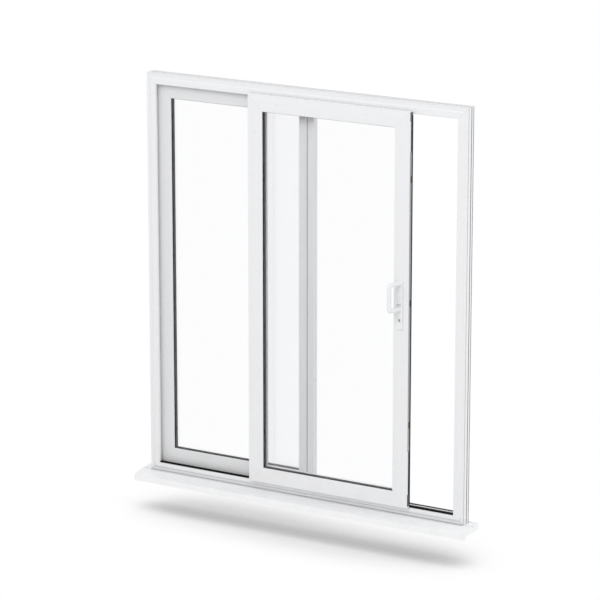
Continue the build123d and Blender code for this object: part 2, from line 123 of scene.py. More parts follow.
class Graph:
    """Adds and joins nodes in one node tree."""

    def __init__(self, tree: bpy.types.NodeTree) -> None:
        """Keep the node tree to build in."""
        self.tree = tree

    def add(self, kind: str, **settings: object) -> bpy.types.Node:
        """Add a node and set its properties.

        Args:
            kind: The node's type name.
            settings: Properties of the node by name.

        Returns:
            The new node.
        """
        node = self.tree.nodes.new(kind)
        for name, value in settings.items():
            setattr(node, name, value)
        return node

    def join(self, source: Socket, target: Socket) -> None:
        """Link an output socket to an input socket."""
        self.tree.links.new(source, target)

    def feed(self, target: Socket, value: object) -> None:
        """Give a socket a link or a plain value.

        Args:
            target: The input socket.
            value: A socket to link from, or a number or vector to set.
        """
        if isinstance(value, Socket):
            self.join(value, target)
        else:
            target.default_value = value

    def math(self, operation: str, first: object, second: object = 0.0) -> Socket:
        """Add a maths node.

        Args:
            operation: The node's operation.
            first: Its first value or socket.
            second: Its second value or socket.

        Returns:
            The result socket.
        """
        node = self.add("ShaderNodeMath", operation=operation)
        self.feed(node.inputs[0], first)
        self.feed(node.inputs[1], second)
        return node.outputs[0]

    def times(self, *values: object) -> Socket:
        """Multiply values one after the other.

        Args:
            values: Numbers or sockets, one of them a socket.

        Returns:
            The product socket.
        """
        product = values[0]
        for value in values[1:]:
            product = self.math("MULTIPLY", product, value)
        return product

    def apart(self, first: object, second: object) -> Socket:
        """How far two values are from each other, without a sign."""
        return self.math("ABSOLUTE", self.math("SUBTRACT", first, second))

    def between(self, value: Socket, low: object, high: object) -> Socket:
        """1 where a value lies between two limits, and 0 elsewhere."""
        return self.times(self.math("GREATER_THAN", value, low), self.math("LESS_THAN", value, high))

    def vector(self, operation: str, first: object, second: object = (0.0, 0.0, 0.0)) -> Socket:
        """Add a vector maths node and return its vector result.

        Args:
            operation: The node's operation.
            first: Its first vector or socket.
            second: Its second vector or socket.

        Returns:
            The result socket.
        """
        node = self.add("ShaderNodeVectorMath", operation=operation)
        self.feed(node.inputs[0], first)
        self.feed(node.inputs[1], second)
        return node.outputs[0]

    def split(self, vector: Socket) -> tuple[Socket, Socket, Socket]:
        """Split a vector.

        Args:
            vector: The vector socket.

        Returns:
            Its X, Y and Z sockets.
        """
        node = self.add("ShaderNodeSeparateXYZ")
        self.join(vector, node.inputs[0])
        return node.outputs["X"], node.outputs["Y"], node.outputs["Z"]

    def noise(self, place: Socket, scale: object, detail: float = 3.0) -> Socket:
        """Add a noise texture and return its factor.

        Args:
            place: The coordinate socket.
            scale: The scale value or socket.
            detail: How many finer levels it has.

        Returns:
            The factor socket, around 0.5.
        """
        node = self.add("ShaderNodeTexNoise")
        node.inputs["Detail"].default_value = detail
        self.join(place, node.inputs["Vector"])
        self.feed(node.inputs["Scale"], scale)
        return node.outputs["Fac"]

    def ramp(self, value: Socket, low: object, high: object, to_low: object, to_high: object) -> Socket:
        """Map a value smoothly from one range to another.

        Args:
            value: The socket to map.
            low: The start of the range.
            high: The end of the range.
            to_low: The result at the start.
            to_high: The result at the end.

        Returns:
            The mapped socket.
        """
        node = self.add("ShaderNodeMapRange", interpolation_type="SMOOTHSTEP")
        self.join(value, node.inputs["Value"])
        for name, setting in (("From Min", low), ("From Max", high), ("To Min", to_low), ("To Max", to_high)):
            self.feed(node.inputs[name], setting)
        return node.outputs["Result"]

    def tint(self, mask: Socket, first: object, second: object) -> Socket:
        """Mix two colours by a mask.

        Args:
            mask: 0 for the first colour and 1 for the second.
            first: A colour or a socket.
            second: A colour or a socket.

        Returns:
            The colour socket.
        """
        node = self.add("ShaderNodeMix", data_type="RGBA")
        self.join(mask, node.inputs["Factor"])
        self.feed(node.inputs[6], first)
        self.feed(node.inputs[7], second)
        return node.outputs[2]

    def bump(self, height: Socket, distance: float) -> Socket:
        """Add a bump node.

        Args:
            height: The height socket.
            distance: The depth of the relief in metres.

        Returns:
            The normal socket.
        """
        node = self.add("ShaderNodeBump")
        node.inputs["Strength"].default_value = 1.0
        node.inputs["Distance"].default_value = distance
        self.join(height, node.inputs["Height"])
        return node.outputs["Normal"]


class Effect:
    """A shader node group that several finishes share, built once."""

    name = "effect"
    takes: tuple[tuple[str, str, object], ...] = ()
    gives: tuple[str, ...] = ()

    def __init__(self) -> None:
        """Build the group."""
        self.tree = bpy.data.node_groups.new(self.name, "ShaderNodeTree")
        for label, kind, value in self.takes:
            socket = self.tree.interface.new_socket(label, in_out="INPUT", socket_type=kind)
            if value is not None:
                socket.default_value = value
        for label in self.gives:
            self.tree.interface.new_socket(label, in_out="OUTPUT", socket_type="NodeSocketFloat")
        self.graph = Graph(self.tree)
        self.source = self.graph.add("NodeGroupInput").outputs
        self.sink = self.graph.add("NodeGroupOutput").inputs
        self.wire()

    def wire(self) -> None:
        """Join the group's nodes, in each effect its own way."""
        raise NotImplementedError

    def away(self) -> Socket:
        """How far a point is from the centre along each axis, without signs."""
        offset = self.graph.vector("SUBTRACT", self.source["Place"], self.source["Centre"])
        return self.graph.vector("ABSOLUTE", offset)

    def place(self, graph: Graph, **values: object) -> bpy.types.bpy_prop_collection:
        """Put the group into a material.

        Args:
            graph: The material's graph.
            values: Inputs by name, with underscores for spaces.

        Returns:
            The outputs of the group node.
        """
        node = graph.add("ShaderNodeGroup", node_tree=self.tree)
        for label, value in values.items():
            graph.feed(node.inputs[label.replace("_", " ")], value)
        return node.outputs


class FineGrain(Effect):
    """The fine uneven surface of moulded and painted parts."""

    name = "fine_grain"
    takes = (
        ("Place", "NodeSocketVector", None),
        ("Scale", "NodeSocketFloat", 700.0),
        ("Low", "NodeSocketFloat", 0.3),
        ("High", "NodeSocketFloat", 0.4),
    )
    gives = ("Roughness", "Height")
    broad_share = 0.03

    def wire(self) -> None:
        """Two levels of noise: broad for the sheen and fine for the relief."""
        g = self.graph
        broad = g.noise(self.source["Place"], g.times(self.source["Scale"], self.broad_share))
        g.join(g.ramp(broad, 0.3, 0.7, self.source["Low"], self.source["High"]), self.sink["Roughness"])
        g.join(g.noise(self.source["Place"], self.source["Scale"], 5.0), self.sink["Height"])


class DrawnLines(Effect):
    """The faint lines that a die leaves along an extruded or brushed length."""

    name = "drawn_lines"
    takes = (("Place", "NodeSocketVector", None), ("Stretch", "NodeSocketVector", (420.0, 420.0, 3.0)))
    gives = ("Mask", "Height")
    wide_share = 0.12

    def wire(self) -> None:
        """Noise stretched along the length, at two widths."""
        g = self.graph
        drawn = g.vector("MULTIPLY", self.source["Place"], self.source["Stretch"])
        wide = g.noise(drawn, self.wide_share, 2.0)
        g.join(g.ramp(wide, 0.35, 0.65, 0.0, 1.0), self.sink["Mask"])
        g.join(g.noise(drawn, 1.0, 4.0), self.sink["Height"])


class MitreLine(Effect):
    """The thin welded line across each corner of a mitred ring."""

    name = "mitre_line"
    takes = (
        ("Place", "NodeSocketVector", None),
        ("Centre", "NodeSocketVector", None),
        ("Half", "NodeSocketVector", None),
        ("Side Face", "NodeSocketFloat", 0.08),
        ("Top Face", "NodeSocketFloat", 0.08),
        ("Bottom Face", "NodeSocketFloat", 0.08),
        ("Width", "NodeSocketFloat", 0.0008),
    )
    gives = ("Mask",)
    slant = 1.41

    def wire(self) -> None:
        """Measure how far a point is from the line through the outer and inner corners."""
        g = self.graph
        offset = g.vector("SUBTRACT", self.source["Place"], self.source["Centre"])
        upper = g.math("GREATER_THAN", g.split(offset)[2], 0.0)
        inset_x, _, inset_z = g.split(g.vector("SUBTRACT", self.source["Half"], self.away()))
        top = g.times(upper, self.source["Top Face"])
        bottom = g.times(g.math("SUBTRACT", 1.0, upper), self.source["Bottom Face"])
        across = g.times(inset_x, g.math("ADD", top, bottom))
        upright = g.times(inset_z, self.source["Side Face"])
        off = g.math("DIVIDE", g.apart(across, upright), g.times(self.source["Side Face"], self.slant))
        g.join(g.ramp(off, 0.0, self.source["Width"], 1.0, 0.0), self.sink["Mask"])


class RingLine(Effect):
    """A thin joint line all round an opening, at one distance from it, on the back only."""

    name = "ring_line"
    takes = (
        ("Place", "NodeSocketVector", None),
        ("Centre", "NodeSocketVector", None),
        ("Half", "NodeSocketVector", None),
        ("Distance", "NodeSocketFloat", 0.018),
        ("Width", "NodeSocketFloat", 0.0006),
        ("Behind", "NodeSocketFloat", 0.02),
    )
    gives = ("Mask",)

    def wire(self) -> None:
        """Measure the distance outwards from the opening's edge."""
        g = self.graph
        out_x, _, out_z = g.split(g.vector("SUBTRACT", self.away(), self.source["Half"]))
        off = g.apart(g.math("MAXIMUM", out_x, out_z), self.source["Distance"])
        line = g.ramp(off, 0.0, self.source["Width"], 1.0, 0.0)
        back = g.math("GREATER_THAN", g.split(self.source["Place"])[1], self.source["Behind"])
        g.join(g.times(line, back), self.sink["Mask"])


class LowDust(Effect):
    """Dust that lies thicker towards the bottom and in loose patches."""

    name = "low_dust"
    takes = (
        ("Place", "NodeSocketVector", None),
        ("Floor", "NodeSocketFloat", 0.0),
        ("Reach", "NodeSocketFloat", 0.25),
        ("Patches", "NodeSocketFloat", 14.0),
    )
    gives = ("Mask",)

    def wire(self) -> None:
        """Fade with height and break up with noise."""
        g = self.graph
        above = g.math("SUBTRACT", g.split(self.source["Place"])[2], self.source["Floor"])
        low = g.ramp(above, 0.0, self.source["Reach"], 1.0, 0.0)
        patches = g.ramp(g.noise(self.source["Place"], self.source["Patches"], 6.0), 0.4, 0.65, 0.15, 1.0)
        g.join(g.times(low, patches), self.sink["Mask"])


class GrooveShade(Effect):
    """Painted shade in the outer grooves, in the step behind the front face and in the joint below."""

    name = "groove_shade"
    takes = (
        ("Place", "NodeSocketVector", None),
        ("Centre", "NodeSocketVector", None),
        ("Half", "NodeSocketVector", None),
        ("Step", "NodeSocketFloat", 4.5 * MM),
        ("Foot", "NodeSocketFloat", 17.5 * MM),
        ("Side End", "NodeSocketFloat", 61.5 * MM),
        ("Deepest", "NodeSocketFloat", 7.5 * MM),
    )
    gives = ("Groove", "Crease", "Foot")
    past_step = 0.3 * MM
    on_step = 0.2 * MM
    groove_fade = (0.2 * MM, 2.2 * MM)
    crease_fade = (0.4 * MM, 4.2 * MM)
    sill_fade = (52.0 * MM, 85.0 * MM)
    above_sill = 0.08
    foot_top = 0.5

    def wire(self) -> None:
        """Tell the places apart by their distance in from the outline, their depth and their height."""
        g = self.graph
        inset_x, _, inset_z = g.split(g.vector("SUBTRACT", self.source["Half"], self.away()))
        _, depth, height = g.split(self.source["Place"])
        inset = g.math("MINIMUM", inset_x, inset_z)
        side = g.between(depth, g.math("ADD", self.source["Step"], self.past_step), self.source["Side End"])
        shallow = g.math("LESS_THAN", inset, self.source["Deepest"])
        g.join(g.times(g.ramp(inset, *self.groove_fade, 0.0, 1.0), side, shallow), self.sink["Groove"])
        front = g.math("LESS_THAN", depth, g.math("ADD", self.source["Step"], self.on_step))
        low = g.ramp(height, *self.sill_fade, 1.0, self.above_sill)
        crease = g.ramp(g.apart(inset, self.source["Foot"]), *self.crease_fade, 1.0, 0.0)
        g.join(g.times(crease, front, low), self.sink["Crease"])
        under = g.math("LESS_THAN", inset_z, self.source["Foot"])
        foot = g.ramp(inset_z, 0.0, self.source["Foot"], 1.0, self.foot_top)
        g.join(g.times(foot, front, under, low), self.sink["Foot"])


@dataclass
class Effects:
    """Every shared effect, built once."""

    grain: FineGrain = field(default_factory=FineGrain)
    lines: DrawnLines = field(default_factory=DrawnLines)
    mitre: MitreLine = field(default_factory=MitreLine)
    ring: RingLine = field(default_factory=RingLine)
    dust: LowDust = field(default_factory=LowDust)
    # The painted shade of the outer frame.
    grooves: GrooveShade = field(default_factory=GrooveShade)


@dataclass(frozen=True)
class Ring:
    """A mitred ring's outline and opening, in metres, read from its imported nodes."""

    outer: Corners
    opening: Corners
    behind: float

    @staticmethod
    def of(members: tuple[str, ...], pane: str | None, cover: float, behind: float) -> "Ring":
        """Read a ring from the boxes of its members and of its pane.

        Args:
            members: The names of the ring's four nodes.
            pane: The node whose outline is a fixed distance past the opening, or None.
            cover: That distance, or the members' face width where there is no pane.
            behind: The depth past which the back's joint line shows.

        Returns:
            The ring.
        """
        boxes = [corners(name) for name in members]
        low = Vector([min(box[0][axis] for box in boxes) for axis in range(3)])
        high = Vector([max(box[1][axis] for box in boxes) for axis in range(3)])
        inner = corners(pane) if pane else (low, high)
        inset = Vector((cover, 0.0, cover))
        return Ring((low, high), (inner[0] + inset, inner[1] - inset), behind)

    @staticmethod
    def half(pair: Corners) -> Vector:
        """Half the size between two corners."""
        return (pair[1] - pair[0]) / 2.0

    @staticmethod
    def centre(pair: Corners) -> Vector:
        """The middle between two corners, at depth 0 so that depth doesn't count."""
        middle = (pair[1] + pair[0]) / 2.0
        return Vector((middle.x, 0.0, middle.z))


@dataclass(frozen=True)
class Bed:
    """What a finish is wired on: its graph, its shader, its coordinate and the shared effects."""

    graph: Graph
    shader: bpy.types.Node
    place: Socket
    effects: Effects

    def join(self, **sources: Socket) -> None:
        """Link sockets to the shader's inputs by name, with underscores for spaces."""
        for name, source in sources.items():
            self.graph.join(source, self.shader.inputs[name.replace("_", " ")])

    def set(self, name: str, value: float) -> None:
        """Set a plain value on the shader's own socket."""
        self.shader.inputs[name].default_value = value


@dataclass(frozen=True)
class Finish:
    """What every finish has: a name, a colour and a shader on an empty graph."""

    name: str
    color: Triple

    def build(self, effects: Effects) -> bpy.types.Material:
        """Make the material with its shader, and wire it.

        Args:
            effects: The shared node groups.

        Returns:
            The material.
        """
        material = bpy.data.materials.new(self.name)
        material.use_nodes = True
        material.node_tree.nodes.clear()
        material.diffuse_color = (*self.color, 1.0)
        graph = Graph(material.node_tree)
        output = graph.add("ShaderNodeOutputMaterial")
        shader = graph.add("ShaderNodeBsdfPrincipled")
        graph.join(shader.outputs["BSDF"], output.inputs["Surface"])
        place = graph.add("ShaderNodeTexCoord").outputs["Object"]
        self.wire(Bed(graph, shader, place, effects))
        return material

    def wire(self, bed: Bed) -> None:
        """Join the finish's nodes, in each finish its own way."""
        raise NotImplementedError

    def shade(self, factor: float) -> Shade:
        """The colour times a factor, as a socket's value."""
        return (self.color[0] * factor, self.color[1] * factor, self.color[2] * factor, 1.0)


@dataclass(frozen=True)
class ProfileFinish(Finish):
    """Satin white extruded profile with drawn lines, welded corners, joint lines and a little dust; the outer
    frame also gets painted shade.
    """

    run: Run
    ring: Ring
    paints_groove_shade: bool = False
    sheen: tuple[float, float] = (0.27, 0.4)
    dust: Shade = (0.62, 0.6, 0.56, 1.0)
    dust_share: float = 0.16
    seam: Shade = (0.3, 0.3, 0.31, 1.0)
    seam_share: float = 0.34
    seam_depth: float = 3.0
    # Colours and shares of the painted shade in the outer frame's grooves, front step and lowest band.
    groove: Shade = (0.12, 0.12, 0.125, 1.0)
    painted_groove_shade_share: float = 0.85
    foot: Shade = (0.36, 0.36, 0.38, 1.0)
    painted_foot_shade_share: float = 0.3
    crease: Shade = (0.3, 0.3, 0.32, 1.0)
    painted_crease_shade_share: float = 0.45

    def wire(self, bed: Bed) -> None:
        """Drawn lines and grain, with dust low down, seams at the corners and painted shade in the grooves.

        Args:
            bed: What it is wired on.
        """
        g, effects, place = bed.graph, bed.effects, bed.place
        low, high = self.sheen
        lines = effects.lines.place(g, Place=place, Stretch=self.run.value)
        grain = effects.grain.place(g, Place=place, Scale=900.0, Low=low, High=high)
        dust = effects.dust.place(g, Place=place, Floor=0.0, Reach=0.35, Patches=9.0)
        seam = self.seams(bed)
        color = g.tint(lines["Mask"], self.shade(1.0), self.shade(0.985))
        color = g.tint(g.times(dust["Mask"], self.dust_share), color, self.dust)
        color = g.tint(g.times(seam, self.seam_share), color, self.seam)
        if self.paints_groove_shade:
            color = self.paint_shade(bed, color)
        height = g.math("ADD", g.times(lines["Height"], 0.5), g.times(grain["Height"], 0.5))
        height = g.math("SUBTRACT", height, g.times(seam, self.seam_depth))
        rough = g.math("ADD", grain["Roughness"], g.times(dust["Mask"], 0.12))
        bed.join(Base_Color=color, Roughness=rough, Normal=g.bump(height, 0.05 * MM))
        bed.set("Coat Weight", 0.08)
        bed.set("Coat Roughness", 0.2)

    def paint_shade(self, bed: Bed, color: Socket) -> Socket:
        """Paint shade into the grooves, the step at the front and the lowest band above the cill.

        Args:
            bed: What it is wired on.
            color: The colour socket so far.

        Returns:
            The darkened colour socket.
        """
        g, ring = bed.graph, self.ring
        marks = bed.effects.grooves.place(
            g, Place=bed.place, Centre=ring.centre(ring.outer), Half=ring.half(ring.outer)
        )
        # Painted shade in the grooves, on the lowest band and at the front step.
        color = g.tint(g.times(marks["Groove"], self.painted_groove_shade_share), color, self.groove)
        color = g.tint(g.times(marks["Foot"], self.painted_foot_shade_share), color, self.foot)
        return g.tint(g.times(marks["Crease"], self.painted_crease_shade_share), color, self.crease)

    def seams(self, bed: Bed) -> Socket:
        """Welded corner lines in front and behind, and the glazing joint behind.

        Args:
            bed: What it is wired on.

        Returns:
            One mask for both kinds of line.
        """
        outer, opening = self.ring.outer, self.ring.opening
        mitre = bed.effects.mitre.place(
            bed.graph,
            Place=bed.place,
            Centre=self.ring.centre(outer),
            Half=self.ring.half(outer),
            Side_Face=opening[0].x - outer[0].x,
            Top_Face=outer[1].z - opening[1].z,
            Bottom_Face=opening[0].z - outer[0].z,
        )
        joint = bed.effects.ring.place(
            bed.graph,
            Place=bed.place,
            Centre=self.ring.centre(opening),
            Half=self.ring.half(opening),
            Behind=self.ring.behind,
        )
        return bed.graph.math("MAXIMUM", mitre["Mask"], joint["Mask"])


@dataclass(frozen=True)
class CillFinish(Finish):
    """Satin white board, with painted shade along the joint with the frame, and darker along its ridges."""

    painted_joint_shade_half: float = 896.0 * MM
    painted_joint_shade_reach: float = 20.0 * MM
    # Colour of the painted shade along the frame's joint.
    joint: Shade = (0.34, 0.34, 0.35, 1.0)
    painted_joint_shade_share: float = 0.32
    dust: Shade = (0.66, 0.65, 0.62, 1.0)
    dust_share: float = 0.1
    ridge: Shade = (0.35, 0.35, 0.36, 1.0)
    ridge_share: float = 0.7
    ridge_depths: tuple[float, float] = (0.5 * MM, 20.0 * MM)
    ridge_fade: tuple[float, float] = (28.8 * MM, 29.7 * MM)
    ridge_floor: float = 27.0 * MM

    def wire(self, bed: Bed) -> None:
        """Drawn lines, grain and dust, with painted shade along the joint in front of the frame.

        Args:
            bed: What it is wired on.
        """
        g, effects, place = bed.graph, bed.effects, bed.place
        lines = effects.lines.place(g, Place=place, Stretch=Run.ACROSS.value)
        grain = effects.grain.place(g, Place=place, Scale=900.0, Low=0.3, High=0.44)
        dust = effects.dust.place(g, Place=place, Floor=0.0, Reach=0.3, Patches=11.0)
        across, depth, height = g.split(place)
        under = g.math("LESS_THAN", g.math("ABSOLUTE", across), self.painted_joint_shade_half)
        near = g.ramp(depth, -self.painted_joint_shade_reach, 0.0, 0.0, 1.0)
        ridges = g.times(
            g.ramp(height, *self.ridge_fade, 1.0, 0.0),
            g.between(depth, *self.ridge_depths),
            g.math("GREATER_THAN", height, self.ridge_floor),
            self.ridge_share,
        )
        color = g.tint(lines["Mask"], self.shade(1.0), self.shade(0.985))
        color = g.tint(g.times(dust["Mask"], self.dust_share), color, self.dust)
        # Painted shade, darkest at the frame and fading forwards.
        color = g.tint(g.times(near, under, self.painted_joint_shade_share), color, self.joint)
        color = g.tint(ridges, color, self.ridge)
        relief = g.bump(g.math("ADD", lines["Height"], grain["Height"]), 0.03 * MM)
        bed.join(Base_Color=color, Roughness=grain["Roughness"], Normal=relief)


@dataclass(frozen=True)
class RubberFinish(Finish):
    """Matt black seal rubber with fine grain and a trace of dust."""

    sheen: tuple[float, float] = (0.55, 0.75)

    def wire(self, bed: Bed) -> None:
        """Fine grain under patches of dust.

        Args:
            bed: What it is wired on.
        """
        g, place = bed.graph, bed.place
        low, high = self.sheen
        grain = bed.effects.grain.place(g, Place=place, Scale=1500.0, Low=low, High=high)
        dust = bed.effects.dust.place(g, Place=place, Floor=0.0, Reach=2.4, Patches=40.0)
        color = g.tint(g.times(dust["Mask"], 0.3), self.shade(1.0), self.shade(2.2))
        bed.join(Base_Color=color, Roughness=grain["Roughness"], Normal=g.bump(grain["Height"], 0.08 * MM))
        bed.set("Specular IOR Level", 0.15)


@dataclass(frozen=True)
class PileFinish(Finish):
    """Black woven brush pile, with hairs drawn along the pile's height."""

    run: Run = Run.UPRIGHT
    fineness: float = 6.0

    def wire(self, bed: Bed) -> None:
        """Fine drawn lines as hairs.

        Args:
            bed: What it is wired on.
        """
        g = bed.graph
        stretch = tuple(value * self.fineness for value in self.run.value)
        lines = bed.effects.lines.place(g, Place=bed.place, Stretch=stretch)
        bed.join(
            Base_Color=g.tint(lines["Mask"], self.shade(0.6), self.shade(1.8)),
            Roughness=g.ramp(lines["Height"], 0.3, 0.7, 0.7, 0.95),
            Normal=g.bump(lines["Height"], 0.3 * MM),
        )
        bed.set("Specular IOR Level", 0.05)


@dataclass(frozen=True)
class MetalFinish(Finish):
    """Brushed metal, with its lines along one direction."""

    run: Run = Run.UPRIGHT
    sheen: tuple[float, float] = (0.28, 0.48)
    metallic: float = 1.0
    fineness: float = 4.0

    def wire(self, bed: Bed) -> None:
        """Brushed lines under a little dust.

        Args:
            bed: What it is wired on.
        """
        g, place = bed.graph, bed.place
        stretch = tuple(value * self.fineness for value in self.run.value)
        lines = bed.effects.lines.place(g, Place=place, Stretch=stretch)
        dust = bed.effects.dust.place(g, Place=place, Floor=0.0, Reach=2.4, Patches=60.0)
        color = g.tint(lines["Height"], self.shade(0.86), self.shade(1.14))
        bed.join(
            Base_Color=g.tint(g.times(dust["Mask"], 0.2), color, self.shade(0.55)),
            Roughness=g.ramp(lines["Height"], 0.3, 0.7, *self.sheen),
            Normal=g.bump(lines["Height"], 0.03 * MM),
        )
        bed.set("Metallic", self.metallic)


@dataclass(frozen=True)
class MouldedFinish(Finish):
    """Dark moulded plastic, worn lighter where something runs along it."""

    sheen: tuple[float, float] = (0.38, 0.55)
    shine: float = 0.15
    worn_y: float = 0.0
    worn_above: float = 99.0
    worn_fade: tuple[float, float] = (0.4 * MM, 1.6 * MM)
    worn_lift: float = 6.0

    def wire(self, bed: Bed) -> None:
        """Fine grain, scuffed along the worn line.

        Args:
            bed: What it is wired on.
        """
        g, place = bed.graph, bed.place
        low, high = self.sheen
        grain = bed.effects.grain.place(g, Place=place, Scale=1200.0, Low=low, High=high)
        _, depth, height = g.split(place)
        line = g.ramp(g.apart(depth, self.worn_y), *self.worn_fade, 1.0, 0.0)
        top = g.math("GREATER_THAN", height, self.worn_above)
        scuffs = g.times(line, top, g.ramp(g.noise(place, 90.0, 5.0), 0.35, 0.65, 0.3, 1.0))
        bed.join(
            Base_Color=g.tint(scuffs, self.shade(1.0), self.shade(self.worn_lift)),
            Roughness=g.math("SUBTRACT", grain["Roughness"], g.times(scuffs, 0.2)),
            Normal=g.bump(grain["Height"], 0.06 * MM),
        )
        bed.set("Specular IOR Level", self.shine)


@dataclass(frozen=True)
class HandlePaint(Finish):
    """White powder paint with a fine orange-peel skin, polished a little where hands hold it."""

    held_z: float = 1.143
    reach: float = 70.0 * MM

    def wire(self, bed: Bed) -> None:
        """Fine grain, darker and smoother round the grip's middle.

        Args:
            bed: What it is wired on.
        """
        g, place = bed.graph, bed.place
        grain = bed.effects.grain.place(g, Place=place, Scale=520.0, Low=0.3, High=0.4)
        near = g.ramp(g.apart(g.split(place)[2], self.held_z), 0.0, self.reach, 1.0, 0.0)
        held = g.times(near, g.noise(place, 60.0, 4.0))
        bed.join(
            Base_Color=g.tint(held, self.shade(1.0), self.shade(0.965)),
            Roughness=g.math("SUBTRACT", grain["Roughness"], g.times(held, 0.12)),
            Normal=g.bump(grain["Height"], 0.06 * MM),
        )
        bed.set("Coat Weight", 0.15)
        bed.set("Coat Roughness", 0.25)


@dataclass(frozen=True)
class ClearGlass(Finish):
    """Clear float glass with faint wiping marks; light passes it for shadows."""

    clear: float = 0.93

    def wire(self, bed: Bed) -> None:
        """Faint marks on glass that shadow rays pass.

        Args:
            bed: What it is wired on.
        """
        g = bed.graph
        marks = bed.effects.grain.place(g, Place=bed.place, Scale=120.0, Low=0.0, High=0.012)
        color = g.tint(marks["Height"], self.shade(1.0), self.shade(0.992))
        bed.join(Base_Color=color, Roughness=marks["Roughness"])
        bed.set("IOR", 1.45)
        bed.set("Transmission Weight", 1.0)
        through = g.add("ShaderNodeBsdfTransparent")
        through.inputs["Color"].default_value = (self.clear, self.clear, self.clear, 1.0)
        mix = g.add("ShaderNodeMixShader")
        g.join(g.add("ShaderNodeLightPath").outputs["Is Shadow Ray"], mix.inputs["Fac"])
        g.join(bed.shader.outputs["BSDF"], mix.inputs[1])
        g.join(through.outputs["BSDF"], mix.inputs[2])
        output = next(node for node in g.tree.nodes if node.type == "OUTPUT_MATERIAL")
        g.join(mix.outputs["Shader"], output.inputs["Surface"])


class Bench:
    """Adds and shapes meshes with Blender's own tools."""

    @staticmethod
    def clear() -> None:
        """Leave edit mode and deselect everything."""
        if bpy.context.object and bpy.context.object.mode != "OBJECT":
            bpy.ops.object.mode_set(mode="OBJECT")
        bpy.ops.object.select_all(action="DESELECT")

    @staticmethod
    def hold(*pieces: bpy.types.Object) -> None:
        """Select only these pieces and make the first one active.

        Args:
            pieces: The objects.
        """
        Bench.clear()
        for piece in pieces:
            piece.select_set(True)
        bpy.context.view_layer.objects.active = pieces[0]

    @staticmethod
    def settle(piece: bpy.types.Object, name: str) -> bpy.types.Object:
        """Name a piece and put its place, turn and scale into its mesh.

        Args:
            piece: The object.
            name: Its name.

        Returns:
            The same object at the origin.
        """
        Bench.hold(piece)
        bpy.ops.object.transform_apply(location=True, rotation=True, scale=True)
        piece.name = name
        piece.data.name = name
        return piece

    @staticmethod
    def block(low: Vector, high: Vector, name: str) -> bpy.types.Object:
        """Add a block between two corners.

        Args:
            low: Its lowest corner.
            high: Its highest corner.
            name: Its name.

        Returns:
            The block, with its place in its mesh.
        """
        Bench.clear()
        bpy.ops.mesh.primitive_cube_add(size=1.0, location=(low + high) / 2.0, scale=high - low)
        return Bench.settle(bpy.context.object, name)

    @staticmethod
    def disc(
        centre: Vector, radius: float, depth: float, turn: Triple, name: str, sides: int
    ) -> bpy.types.Object:
        """Add a short cylinder.

        Args:
            centre: Its middle.
            radius: Its radius.
            depth: Its thickness.
            turn: Its rotation, in radians about X, Y and Z.
            name: Its name.
            sides: How many sides it has.

        Returns:
            The disc, with its place in its mesh.
        """
        Bench.clear()
        bpy.ops.mesh.primitive_cylinder_add(
            vertices=sides, radius=radius, depth=depth, location=centre, rotation=turn
        )
        return Bench.settle(bpy.context.object, name)

    @staticmethod
    def pick(piece: bpy.types.Object, kind: Pick, test: Test) -> None:
        """Enter edit mode and select what passes a test.

        Args:
            piece: The object to edit.
            kind: Whether edges or faces are tested.
            test: Says whether an element is wanted.
        """
        Bench.hold(piece)
        bpy.ops.object.mode_set(mode="EDIT")
        bpy.ops.mesh.select_mode(type=kind.value)
        bpy.ops.mesh.select_all(action="DESELECT")
        mesh = bmesh.from_edit_mesh(piece.data)
        for item in mesh.edges if kind is Pick.EDGES else mesh.faces:
            item.select_set(test(item))
        mesh.select_flush_mode()
        bmesh.update_edit_mesh(piece.data)

    @staticmethod
    def done(piece: bpy.types.Object, smooth: float = 0.5) -> None:
        """Turn the faces outwards, leave edit mode and smooth the shallow edges.

        Args:
            piece: The object.
            smooth: The angle in radians under which an edge is smooth.
        """
        Bench.pick(piece, Pick.FACES, lambda face: True)
        bpy.ops.mesh.remove_doubles(threshold=0.001 * MM)
        bpy.ops.mesh.normals_make_consistent(inside=False)
        bpy.ops.object.mode_set(mode="OBJECT")
        bpy.ops.object.shade_smooth_by_angle(angle=smooth)

    @staticmethod
    def bevel(piece: bpy.types.Object, width: float, segments: int, test: Test) -> None:
        """Bevel chosen edges.

        Args:
            piece: The object.
            width: The bevel's width.
            segments: How many steps it has.
            test: Says which edges are bevelled.
        """
        Bench.pick(piece, Pick.EDGES, test)
        bpy.ops.mesh.bevel(offset=width, segments=segments, affect="EDGES")
        bpy.ops.object.mode_set(mode="OBJECT")

    @staticmethod
    def copies(piece: bpy.types.Object, count: int, step: Vector) -> None:
        """Repeat a piece in a row with an applied Array modifier.

        Args:
            piece: The object.
            count: How many there are.
            step: The way from one to the next.
        """
        Bench.hold(piece)
        bpy.ops.object.modifier_add(type="ARRAY")
        row = piece.modifiers[-1]
        row.count = count
        row.use_relative_offset = False
        row.use_constant_offset = True
        row.constant_offset_displace = step
        bpy.ops.object.modifier_apply(modifier=row.name)

    @staticmethod
    def twin(piece: bpy.types.Object, name: str, rise: float) -> bpy.types.Object:
        """Copy a piece with its own mesh and raise the copy's mesh.

        Args:
            piece: The object to copy.
            name: The copy's name.
            rise: How far it moves up.

        Returns:
            The copy.
        """
        other = piece.copy()
        other.data = piece.data.copy()
        other.data.transform(Matrix.Translation((0.0, 0.0, rise)))
        other.name = name
        other.data.name = name
        bpy.context.scene.collection.objects.link(other)
        return other


@dataclass
class Shop:
    """Where finished pieces get their finish and body."""

    finishes: dict[str, bpy.types.Material]

    def dress(self, piece: bpy.types.Object, finish: str, slot: Slot, body: Body, *nodes: str) -> None:
        """Give a piece its finish and the body that it rides on.

        Args:
            piece: The object.
            finish: The finish's name.
            slot: The record's slot; not used.
            body: The body it moves with.
            nodes: The CAD nodes that it stands for.
        """
        piece.data.materials.clear()
        piece.data.materials.append(self.finishes[finish])
        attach(piece, body.value)
        if nodes:
            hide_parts(*nodes)
        log.info("made %s, %d faces, on %s", piece.name, len(piece.data.polygons), body.value)


